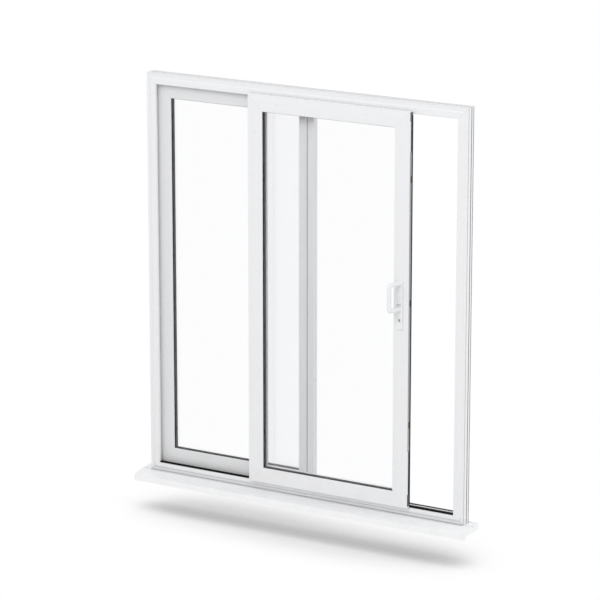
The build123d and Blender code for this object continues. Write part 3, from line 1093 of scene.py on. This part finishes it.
@dataclass
class GlazingSeals:
    """The four rubber seals round the glass, each with a rounded lip."""

    shop: Shop
    width: float = 11.5 * MM
    lip_round: float = 0.6 * MM

    def build(self) -> None:
        """Make each seal in its node's place."""
        for leaf, body in (("fixed", Body.FRAME), ("slider", Body.LEAF)):
            for side in ("front", "back"):
                self.seal(f"{leaf}_gasket_{side}", body)

    def seal(self, node: str, body: Body) -> None:
        """One seal: a standing plane, inset, opened and extruded, with its lip bevelled.

        Args:
            node: The CAD node it stands for.
            body: The body it rides on.
        """
        low, high = corners(node)
        middle, size = (low + high) / 2.0, high - low
        inner_x = size.x / 2.0 - self.width + EDGE_SLACK
        inner_z = size.z / 2.0 - self.width + EDGE_SLACK
        Bench.clear()
        bpy.ops.mesh.primitive_plane_add(size=1.0, location=(middle.x, low.y, middle.z), rotation=TO_FRONT)
        piece = bpy.context.object
        piece.scale = (size.x, size.z, 1.0)
        Bench.settle(piece, f"{node}_lip")
        Bench.pick(piece, Pick.FACES, lambda face: True)
        bpy.ops.mesh.inset(thickness=self.width, use_even_offset=True)
        bpy.ops.mesh.delete(type="FACE")
        bpy.ops.mesh.select_all(action="SELECT")
        bpy.ops.mesh.extrude_region_move(TRANSFORM_OT_translate={"value": (0.0, size.y, 0.0)})

        def on_lip(edge: bmesh.types.BMEdge) -> bool:
            """Whether an edge lies round the seal's inner rim."""
            offsets = [vert.co - middle for vert in edge.verts]
            inside = all(abs(offset.x) < inner_x and abs(offset.z) < inner_z for offset in offsets)
            return inside and not along(1)(edge)

        Bench.bevel(piece, self.lip_round, 2, on_lip)
        Bench.done(piece, 0.6)
        self.shop.dress(piece, "seal_rubber", Slot.SEAL, body, node)


@dataclass
class BrushSeals:
    """Pile strips: one along the sill and one in the interlock groove."""

    shop: Shop
    tuft: float = 2.8 * MM
    pitch: float = 3.0 * MM
    backing: float = 1.0 * MM
    taper: float = 0.7

    def build(self) -> None:
        """Make both strips: one stands up from its backing, one sticks out to the front."""
        self.strip("sill_brush_strip", "pile_upright", along_axis=0, up_axis=2, way=1)
        self.strip("interlock_brush", "pile_across", along_axis=2, up_axis=1, way=-1)

    def strip(self, node: str, finish: str, along_axis: int, up_axis: int, way: int) -> None:
        """A backing with a row of tapered tufts.

        Args:
            node: The CAD node it stands for.
            finish: The finish's name.
            along_axis: The axis that it runs along.
            up_axis: The axis that its pile stands on.
            way: 1 where the pile points along that axis, -1 where it points back.
        """
        low, high = corners(node)
        backing_low, backing_high = low.copy(), high.copy()
        tuft_low, tuft_high = low.copy(), high.copy()
        if way > 0:
            backing_high[up_axis] = tuft_low[up_axis] = low[up_axis] + self.backing
        else:
            backing_low[up_axis] = tuft_high[up_axis] = high[up_axis] - self.backing
        tuft_high[along_axis] = low[along_axis] + self.tuft
        tip = (tuft_high if way > 0 else tuft_low)[up_axis]
        tufts = Bench.block(tuft_low, tuft_high, f"{node}_tufts")
        Bench.pick(tufts, Pick.FACES, facing(up_axis, tip))
        bpy.ops.transform.resize(value=tuple(self.taper if axis == along_axis else 1.0 for axis in range(3)))
        bpy.ops.object.mode_set(mode="OBJECT")
        step = Vector()
        step[along_axis] = self.pitch
        room = high[along_axis] - low[along_axis] - self.tuft
        Bench.copies(tufts, int(room / self.pitch) + 1, step)
        Bench.hold(tufts, Bench.block(backing_low, backing_high, f"{node}_backing"))
        bpy.ops.object.join()
        tufts.name = f"{node}_pile"
        self.shop.dress(tufts, finish, Slot.SEAL, Body.FRAME, node)


@dataclass(frozen=True)
class Plate:
    """An upright plate that screws and hook slots are let into."""

    name: str
    low: Vector
    high: Vector
    way: float
    body: Body

    @staticmethod
    def of(node: str, name: str, way: float, body: Body) -> "Plate":
        """A plate with its node's corners; way is 1 where its face looks along X, else -1."""
        return Plate(name, *corners(node), way, body)

    def spot(self, share: float) -> Vector:
        """The place on the face's middle line at a share of the plate's height."""
        face = self.high.x if self.way > 0 else self.low.x
        middle = (self.low.y + self.high.y) / 2.0
        return Vector((face, middle, self.low.z + share * (self.high.z - self.low.z)))


@dataclass
class LockEdge:
    """Screws and hook slots in the faceplate on the closing edge, and in the keep on the jamb."""

    shop: Shop
    screw_radius: float = 3.4 * MM
    screw_depth: float = 0.6 * MM
    screw_proud: float = 0.08
    rim_share: float = 0.12
    cone_share: float = 0.38
    recess_share: float = 0.7
    slot_wide: float = 7.0 * MM
    slot_tall: float = 34.0 * MM
    slot_sunk: float = 0.4 * MM
    slot_depth: float = 0.45 * MM
    slot_round: float = 1.8 * MM
    faceplate_screws: tuple[float, ...] = (0.012, 0.2, 0.36, 0.64, 0.8, 0.988)
    faceplate_slots: tuple[float, ...] = (0.09, 0.5, 0.91)
    keep_screws: tuple[float, ...] = (0.08, 0.92)
    keep_slots: tuple[float, ...] = (0.3, 0.7)

    def build(self) -> None:
        """Make the faceplate's and the keep's details."""
        faceplate = Plate.of("lock_faceplate", "faceplate", 1.0, Body.LEAF)
        self.screws(faceplate, self.faceplate_screws)
        self.slots(faceplate, self.faceplate_slots)
        keep = Plate.of("lock_keep", "keep", -1.0, Body.FRAME)
        self.screws(keep, self.keep_screws)
        self.slots(keep, self.keep_slots)

    def screws(self, plate: Plate, shares: tuple[float, ...]) -> None:
        """A row of countersunk screw heads on a plate.

        Args:
            plate: The plate.
            shares: The heights, as shares of the plate's height.
        """
        first = plate.spot(shares[0])
        proud = plate.way * self.screw_depth * self.screw_proud
        outer = first.x + proud
        centre = first + Vector((proud - plate.way * self.screw_depth / 2.0, 0.0, 0.0))
        head = Bench.disc(centre, self.screw_radius, self.screw_depth, TO_SIDE, f"{plate.name}_screw_0", 20)
        sink = (-plate.way * self.screw_depth * self.recess_share, 0.0, 0.0)
        Bench.pick(head, Pick.FACES, facing(0, outer))
        bpy.ops.mesh.inset(thickness=self.screw_radius * self.rim_share)
        bpy.ops.mesh.inset(thickness=self.screw_radius * self.cone_share)
        bpy.ops.mesh.extrude_region_move(TRANSFORM_OT_translate={"value": sink})
        bpy.ops.mesh.inset(thickness=self.screw_radius * self.rim_share)
        Bench.done(head)
        self.shop.dress(head, "bright_screw", Slot.METAL, plate.body)
        for index, share in enumerate(shares[1:], 1):
            other = Bench.twin(head, f"{plate.name}_screw_{index}", plate.spot(share).z - first.z)
            self.shop.dress(other, "bright_screw", Slot.METAL, plate.body)

    def slots(self, plate: Plate, shares: tuple[float, ...]) -> None:
        """Slots for the hooks, let into a plate as black insets with painted shade.

        Args:
            plate: The plate.
            shares: The heights, as shares of the plate's height.
        """
        first = plate.spot(shares[0])
        corner = first - Vector((self.slot_sunk, self.slot_wide / 2.0, self.slot_tall / 2.0))
        size = Vector((self.slot_depth, self.slot_wide, self.slot_tall))
        recess = Bench.block(corner, corner + size, f"{plate.name}_slot_0")
        Bench.bevel(recess, self.slot_round, 4, along(0))
        Bench.done(recess)
        self.shop.dress(recess, "painted_hole_shade", Slot.DARK_PLASTIC, plate.body)
        for index, share in enumerate(shares[1:], 1):
            other = Bench.twin(recess, f"{plate.name}_slot_{index}", plate.spot(share).z - first.z)
            self.shop.dress(other, "painted_hole_shade", Slot.DARK_PLASTIC, plate.body)


@dataclass
class EdgeSeal:
    """The black weather lip that runs up the back of the sliding leaf's closing edge."""

    shop: Shop
    width: float = 7.0 * MM
    proud: float = 0.4 * MM
    lip_round: float = 0.9 * MM

    def build(self) -> None:
        """A strip with a rounded lip, over the back edges of the faceplate and the end caps."""
        strip_low, strip_high = corners("closing_edge_strip")
        caps_low, caps_high = corners("closing_edge_caps")
        low = Vector((strip_low.x, strip_high.y - self.width, caps_low.z))
        high = Vector((caps_high.x + self.proud, strip_high.y, caps_high.z))
        front = high.x - FACE_SLACK
        piece = Bench.block(low, high, "closing_edge_lip")
        Bench.bevel(piece, self.lip_round, 3, lambda edge: all(vert.co.x > front for vert in edge.verts))
        Bench.done(piece, 0.6)
        self.shop.dress(piece, "dark_nylon", Slot.DARK_PLASTIC, Body.LEAF)


@dataclass
class HandleDetails:
    """Keyway, the thumb lever's painted shadow, cylinder rims and the screws of the inner backplate."""

    shop: Shop
    keyway_wide: float = 4.8 * MM
    keyway_deep: float = 0.82 * MM
    keyway_tall: float = 11.5 * MM
    keyway_round: float = 1.2 * MM
    keyway_front: float = 0.05 * MM
    keyway_back: float = 0.75 * MM
    rim_radius: float = 9.6 * MM
    rim_depth: float = 1.6 * MM
    rim_width: float = 1.3 * MM
    rim_step: float = 0.3 * MM
    # The grey patch that is painted as the thumb lever's shadow.
    lever_shadow_wide: float = 24.0 * MM
    lever_shadow_deep: float = 0.6 * MM
    lever_shadow_tall: float = 12.1 * MM
    lever_shadow_round: float = 3.5 * MM
    lever_shadow_aside: float = 2.0 * MM
    lever_shadow_below: float = 1.5 * MM
    lever_shadow_proud: float = 0.15 * MM
    screw_radius: float = 3.6 * MM
    screw_depth: float = 0.8 * MM
    screw_from_end: float = 12.0 * MM
    screw_sunk: float = 0.35
    screw_rim: float = 0.4 * MM
    screw_cone: float = 1.3 * MM
    screw_recess: float = 0.6 * MM

    def build(self) -> None:
        """Make the details of both handle sides."""
        low, high = corners("key_cylinder")
        middle = (low + high) / 2.0
        self.rim("cylinder_rim_front", Vector((middle.x, low.y, middle.z)), -1.0)
        self.rim("cylinder_rim_back", Vector((middle.x, high.y, middle.z)), 1.0)
        self.keyway("keyway_front", Vector((middle.x, low.y - self.keyway_front, middle.z)))
        self.keyway("keyway_back", Vector((middle.x, high.y - self.keyway_back, middle.z)))
        self.painted_lever_shadow()
        self.plate_screws()

    def rim(self, name: str, centre: Vector, way: float) -> None:
        """A thin raised rim round the key cylinder.

        Args:
            name: The rim's name.
            centre: The middle of the cylinder's end.
            way: -1 in front, 1 behind.
        """
        place = centre - Vector((0.0, way * self.rim_depth / 2.0, 0.0))
        piece = Bench.disc(place, self.rim_radius, self.rim_depth, TO_FRONT, name, 40)
        Bench.pick(piece, Pick.FACES, facing(1, centre.y))
        bpy.ops.mesh.inset(thickness=self.rim_width)
        bpy.ops.mesh.extrude_region_move(TRANSFORM_OT_translate={"value": (0.0, -way * self.rim_step, 0.0)})
        Bench.done(piece)
        self.shop.dress(piece, "pale_nickel", Slot.METAL, Body.LEAF)

    def keyway(self, name: str, front: Vector) -> None:
        """The keyway in the cylinder's end, as a black inset with painted shade.

        Args:
            name: The keyway's name.
            front: The middle of its front face.
        """
        low = front - Vector((self.keyway_wide / 2.0, 0.0, self.keyway_tall / 2.0))
        size = Vector((self.keyway_wide, self.keyway_deep, self.keyway_tall))
        piece = Bench.block(low, low + size, name)
        Bench.bevel(piece, self.keyway_round, 3, along(1))
        Bench.done(piece)
        self.shop.dress(piece, "painted_hole_shade", Slot.DARK_PLASTIC, Body.LEAF)

    def painted_lever_shadow(self) -> None:
        """A grey patch below the thumb lever: a painted shadow of the lever."""
        lever_low, lever_high = corners("snib_lever")
        plate_low, _ = corners("handle_plate_front")
        x = (lever_low.x + lever_high.x) / 2.0 + self.lever_shadow_aside - self.lever_shadow_wide / 2.0
        z = lever_low.z - self.lever_shadow_below - self.lever_shadow_tall
        low = Vector((x, plate_low.y - self.lever_shadow_proud, z))
        size = Vector((self.lever_shadow_wide, self.lever_shadow_deep, self.lever_shadow_tall))
        piece = Bench.block(low, low + size, "painted_lever_shadow")
        Bench.bevel(piece, self.lever_shadow_round, 5, along(1))
        Bench.done(piece)
        self.shop.dress(piece, "painted_shadow_grey", Slot.DARK_PLASTIC, Body.LEAF)

    def plate_screws(self) -> None:
        """Two countersunk screws in the inner backplate."""
        low, high = corners("handle_plate_back")
        x = (low.x + high.x) / 2.0
        centre = Vector((x, high.y - self.screw_depth * self.screw_sunk, low.z + self.screw_from_end))
        head = Bench.disc(centre, self.screw_radius, self.screw_depth, TO_FRONT, "plate_screw_low", 24)
        Bench.pick(head, Pick.FACES, facing(1, centre.y + self.screw_depth / 2.0))
        bpy.ops.mesh.inset(thickness=self.screw_rim)
        bpy.ops.mesh.inset(thickness=self.screw_cone)
        bpy.ops.mesh.extrude_region_move(TRANSFORM_OT_translate={"value": (0.0, -self.screw_recess, 0.0)})
        Bench.done(head)
        self.shop.dress(head, "bright_screw", Slot.METAL, Body.LEAF)
        other = Bench.twin(head, "plate_screw_high", high.z - low.z - 2.0 * self.screw_from_end)
        self.shop.dress(other, "bright_screw", Slot.METAL, Body.LEAF)


@dataclass(frozen=True)
class PhotoCamera:
    """The photograph's camera, in the part's frame."""

    place: Triple = (7.635, -13.251, 5.135)
    azimuth_deg: float = 30.0
    pitch_deg: float = 14.98
    focal_px: float = 3233.0

    def build(self) -> None:
        """Add the camera and make it the scene's."""
        data = bpy.data.cameras.new("photo_camera")
        data.sensor_width = SENSOR_MM
        data.lens = self.focal_px / PHOTO_SIZE * SENSOR_MM
        data.clip_end = 100.0
        camera = bpy.data.objects.new("photo_camera", data)
        bpy.context.scene.collection.objects.link(camera)
        tilt = Matrix.Rotation(math.radians(90.0 - self.pitch_deg), 4, "X")
        turn = Matrix.Rotation(math.radians(self.azimuth_deg), 4, "Z")
        camera.matrix_world = Matrix.Translation(self.place) @ turn @ tilt
        bpy.context.scene.camera = camera


@dataclass
class Studio:
    """Pale floor, soft lamps and a white surrounding."""

    floor_z: float = -0.16
    floor_size: float = 80.0
    room: float = 0.735
    bounce: float = 0.85
    shadow_reach: float = 0.5
    shadow_from: float = 0.45
    shadow_to: float = 0.92
    shadow_depth: float = 0.38
    aim: Triple = (0.0, 0.0, 1.0)

    def build(self) -> None:
        """Add the floor, the lamps and the world."""
        self.world()
        self.floor()
        self.lamp("key_lamp", (0.5, -7.5, 7.5), 5.0, 300.0)
        self.lamp("side_lamp", (9.0, 1.5, 3.0), 4.0, 165.0)

    @staticmethod
    def seen_or_lit(g: Graph, output: bpy.types.Node, seen: Socket, lit: Socket) -> None:
        """Show one shader to camera, glossy and transmission rays, and another to all others.

        Args:
            g: Where the nodes are added.
            output: The output node.
            seen: The shader that those rays meet.
            lit: The shader that gives light.
        """
        path = g.add("ShaderNodeLightPath").outputs
        direct = g.math("MAXIMUM", path["Is Camera Ray"], path["Is Glossy Ray"])
        mix = g.add("ShaderNodeMixShader")
        g.join(g.math("MAXIMUM", direct, path["Is Transmission Ray"]), mix.inputs["Fac"])
        g.join(lit, mix.inputs[1])
        g.join(seen, mix.inputs[2])
        g.join(mix.outputs["Shader"], output.inputs["Surface"])

    @staticmethod
    def backdrop(g: Graph, strength: float) -> Socket:
        """An even white background.

        Args:
            g: Where the node is added.
            strength: Its strength.

        Returns:
            The shader socket.
        """
        node = g.add("ShaderNodeBackground")
        node.inputs["Color"].default_value = WHITE
        node.inputs["Strength"].default_value = strength
        return node.outputs["Background"]

    def world(self) -> None:
        """A soft surrounding that cameras and clear or shiny surfaces see as pure white."""
        world = bpy.data.worlds.new("white_room")
        bpy.context.scene.world = world
        world.use_nodes = True
        world.node_tree.nodes.clear()
        g = Graph(world.node_tree)
        output = g.add("ShaderNodeOutputWorld")
        self.seen_or_lit(g, output, self.backdrop(g, 1.0), self.backdrop(g, self.room))

    def floor(self) -> None:
        """A pale floor: white where it is seen clear of the door, darker in a painted soft shadow of the door
        made from ambient occlusion.
        """
        Bench.clear()
        bpy.ops.mesh.primitive_plane_add(size=self.floor_size, location=(0.0, 0.0, self.floor_z))
        floor = bpy.context.object
        floor.name = "floor"
        material = bpy.data.materials.new("pale_floor")
        material.use_nodes = True
        material.node_tree.nodes.clear()
        g = Graph(material.node_tree)
        output = g.add("ShaderNodeOutputMaterial")
        plain = g.add("ShaderNodeBsdfDiffuse")
        plain.inputs["Color"].default_value = (self.bounce, self.bounce, self.bounce, 1.0)
        # The floor glows for camera rays; its shadow is painted from ambient occlusion, not cast by the
        # lamps.
        shadow_occlusion = g.add("ShaderNodeAmbientOcclusion", samples=16)
        shadow_occlusion.inputs["Distance"].default_value = self.shadow_reach
        level = g.ramp(shadow_occlusion.outputs["AO"], self.shadow_from, self.shadow_to, self.shadow_depth, 1.0)
        white = g.add("ShaderNodeEmission")
        g.join(level, white.inputs["Strength"])
        self.seen_or_lit(g, output, white.outputs["Emission"], plain.outputs["BSDF"])
        floor.data.materials.append(material)

    def lamp(self, name: str, place: Triple, size: float, power: float) -> None:
        """Add a square soft lamp that faces the door's middle.

        Args:
            name: The lamp's name.
            place: Where it is.
            size: Its side in metres.
            power: Its power in watts.
        """
        data = bpy.data.lights.new(name, "AREA")
        data.size = size
        data.energy = power
        lamp = bpy.data.objects.new(name, data)
        bpy.context.scene.collection.objects.link(lamp)
        lamp.location = place
        way = Vector(self.aim) - Vector(place)
        lamp.rotation_euler = way.to_track_quat("-Z", "Y").to_euler()


@dataclass
class Finishes:
    """Every finish of the door by name, and which CAD node wears which."""

    effects: Effects
    white: Triple = (0.84, 0.845, 0.86)
    # A darker copy of the white: painted shade on the fixed leaf that sits back in the frame.
    painted_shade_white: Triple = (0.765, 0.77, 0.78)
    pane_cover: float = 12.0 * MM
    frame_face: float = 56.0 * MM
    fixed_back: float = 66.0 * MM
    slider_back: float = 20.0 * MM
    no_back_line: float = 9.0

    def rings(self) -> dict[str, Ring]:
        """Read the three mitred rings.

        Returns:
            The rings by the start of their nodes' names.
        """
        frame_nodes = ("frame_head", "frame_sill", "frame_jamb_left", "frame_jamb_right")
        fixed = ("fixed_stile_left", "fixed_stile_interlock", "fixed_rail_top", "fixed_rail_bottom")
        slider = ("slider_stile_interlock", "slider_stile_lock", "slider_rail_top", "slider_rail_bottom")
        return {
            "frame": Ring.of(frame_nodes, None, self.frame_face, self.no_back_line),
            "fixed": Ring.of(fixed, "fixed_pane_front", self.pane_cover, self.fixed_back),
            "slider": Ring.of(slider, "slider_pane_front", self.pane_cover, self.slider_back),
        }

    def build(self) -> dict[str, bpy.types.Material]:
        """Make every finish.

        Returns:
            The materials by finish name.
        """
        finishes: list[Finish] = [
            CillFinish("cill_board", (0.93, 0.935, 0.945)),
            RubberFinish("seal_rubber", (0.02, 0.02, 0.0205)),
            RubberFinish("spacer_bar", (0.02, 0.02, 0.021), sheen=(0.45, 0.6)),
            PileFinish("pile_upright", (0.006, 0.006, 0.006), run=Run.UPRIGHT),
            PileFinish("pile_across", (0.02, 0.02, 0.02), run=Run.ACROSS),
            MouldedFinish("track_strip", (0.008, 0.008, 0.0085), worn_y=19.0 * MM, worn_above=78.5 * MM),
            MouldedFinish("dark_nylon", (0.02, 0.02, 0.022)),
            MouldedFinish("cap_nylon", (0.14, 0.14, 0.145)),
            # Black insets that stand for holes: painted shade inside them.
            MouldedFinish("painted_hole_shade", (0.01, 0.01, 0.01)),
            # Painted shadow below the thumb lever.
            MouldedFinish("painted_shadow_grey", (0.66, 0.66, 0.67)),
            MetalFinish("brushed_faceplate", (0.36, 0.36, 0.37)),
            MetalFinish("bright_screw", (0.62, 0.62, 0.63), sheen=(0.2, 0.3)),
            MetalFinish("pale_nickel", (0.8, 0.8, 0.8), run=Run.ACROSS, sheen=(0.3, 0.4), metallic=0.4),
            HandlePaint("handle_paint", self.white),
            ClearGlass("float_glass", (0.992, 0.993, 0.996)),
        ]
        for start, ring in self.rings().items():
            # The fixed leaf wears the darker white as painted shade.
            white = self.painted_shade_white if start == "fixed" else self.white
            for run in Run:
                name = f"{start}_{run.name.lower()}"
                finishes.append(ProfileFinish(name, white, run, ring, paints_groove_shade=start == "frame"))
        return {finish.name: finish.build(self.effects) for finish in finishes}

    def finish_for(self, node: str, slot: Slot) -> str:
        """The finish that a CAD node wears.

        Args:
            node: The node's name.
            slot: Its slot in the record.

        Returns:
            The finish's name.
        """
        special = {"key_cylinder": "pale_nickel", "closing_edge_caps": "cap_nylon"}
        plain = {
            Slot.GLASS: "float_glass",
            Slot.SEAL: "seal_rubber",
            Slot.SPACER: "spacer_bar",
            Slot.TRACK: "track_strip",
            Slot.DARK_PLASTIC: "dark_nylon",
            Slot.METAL: "brushed_faceplate",
            Slot.HANDLE: "handle_paint",
        }
        if node in special:
            return special[node]
        if slot in plain:
            return plain[slot]
        if node.startswith("cill"):
            return "cill_board"
        way = "upright" if "stile" in node or "jamb" in node else "across"
        return f"{node.split('_')[0]}_{way}"


def dress_nodes(book: Finishes, finishes: dict[str, bpy.types.Material]) -> None:
    """Give every CAD node its finish.

    Args:
        book: Which node wears which finish.
        finishes: The materials by finish name.
    """
    slots = {row["node"]: Slot(row["material_slot"]) for row in frame["record"]["subparts"]}
    for name, node in frame["nodes"].items():
        material = finishes[book.finish_for(name, slots[name])]
        node.data.materials.clear()
        node.data.materials.append(material)
        log.info("dressed %s in %s", name, material.name)


def main() -> None:
    """Build the finishes, the pieces, the studio and the camera in order."""
    logging.basicConfig(level=logging.INFO)
    bpy.context.scene.view_settings.view_transform = "Standard"
    Bench.clear()
    PhotoCamera().build()
    book = Finishes(Effects())
    finishes = book.build()
    dress_nodes(book, finishes)
    shop = Shop(finishes)
    for part in (GlazingSeals(shop), BrushSeals(shop), LockEdge(shop), EdgeSeal(shop), HandleDetails(shop)):
        part.build()
        log.info("built %s", type(part).__name__)
    Studio().build()


if __name__ == "__main__":
    main()
